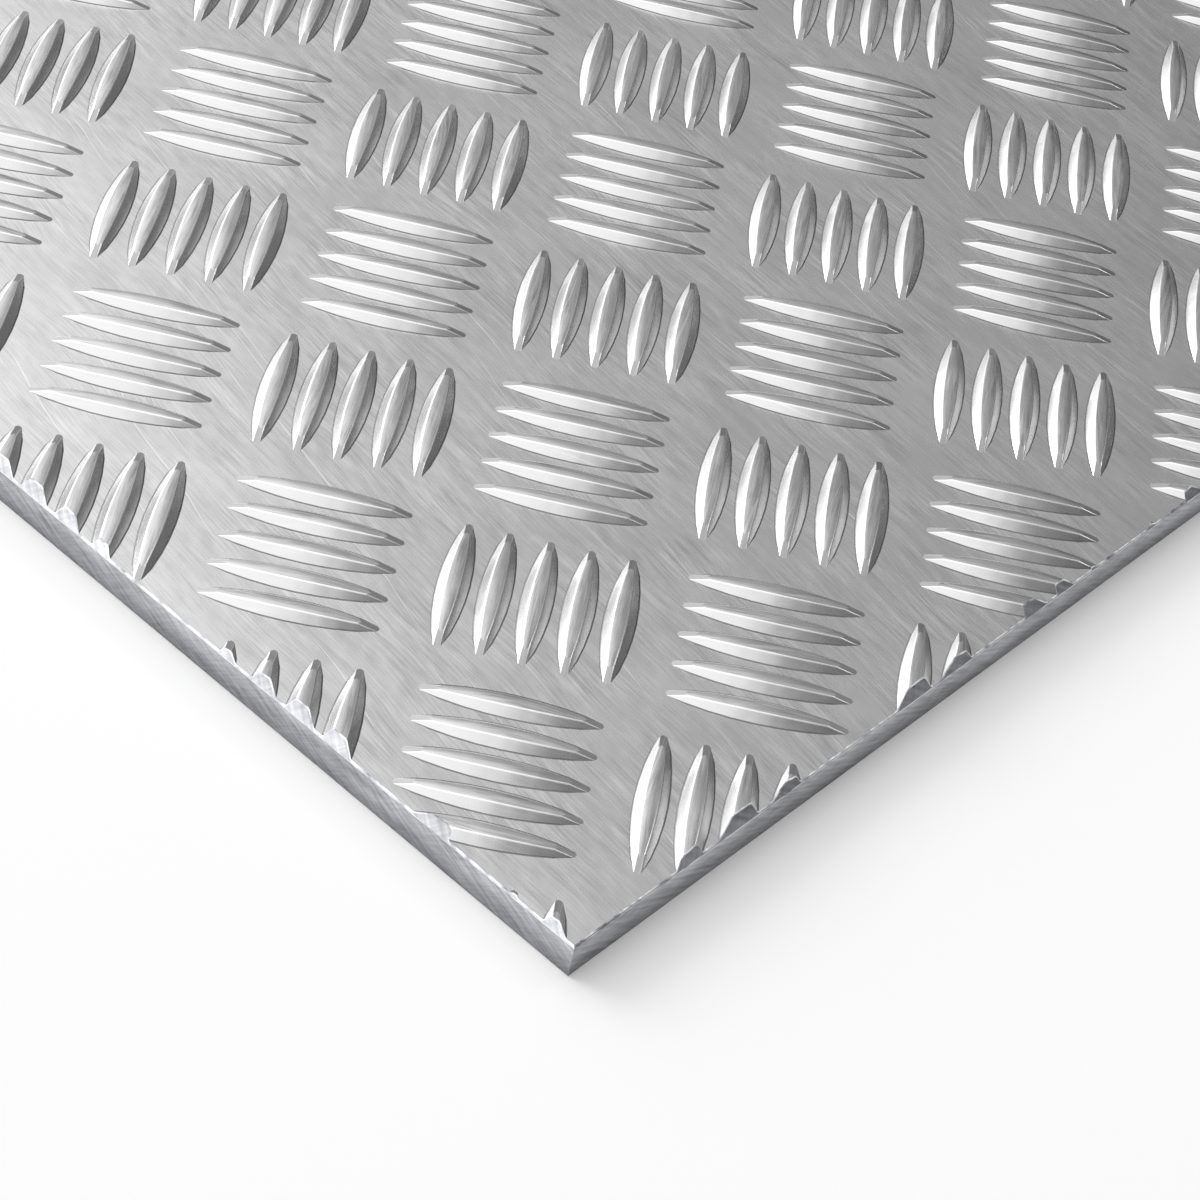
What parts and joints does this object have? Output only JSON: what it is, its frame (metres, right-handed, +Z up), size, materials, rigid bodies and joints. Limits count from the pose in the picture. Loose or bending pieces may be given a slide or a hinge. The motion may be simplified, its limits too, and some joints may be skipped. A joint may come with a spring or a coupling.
{
  "type": "aluminum checker plate",
  "caption": "Flat square-cut sheet of rolled aluminium tread plate with raised lens-shaped bars in groups turned alternately at right angles, for non-slip floors and cladding.",
  "frame": {"origin": "middle of the flat underside, where the sheet rests on a floor", "axes": "+Z up out of the treaded face, X and Y along the sheet's cut edges"},
  "size_m": [0.5, 0.5, 0.0073],
  "materials": {
    "mill_aluminium": "rolled mill finish with fine brushed lines, cut edges bare"
  },
  "bodies": {
    "root": {"checker_plate": "mill_aluminium"}
  },
  "joints": []
}
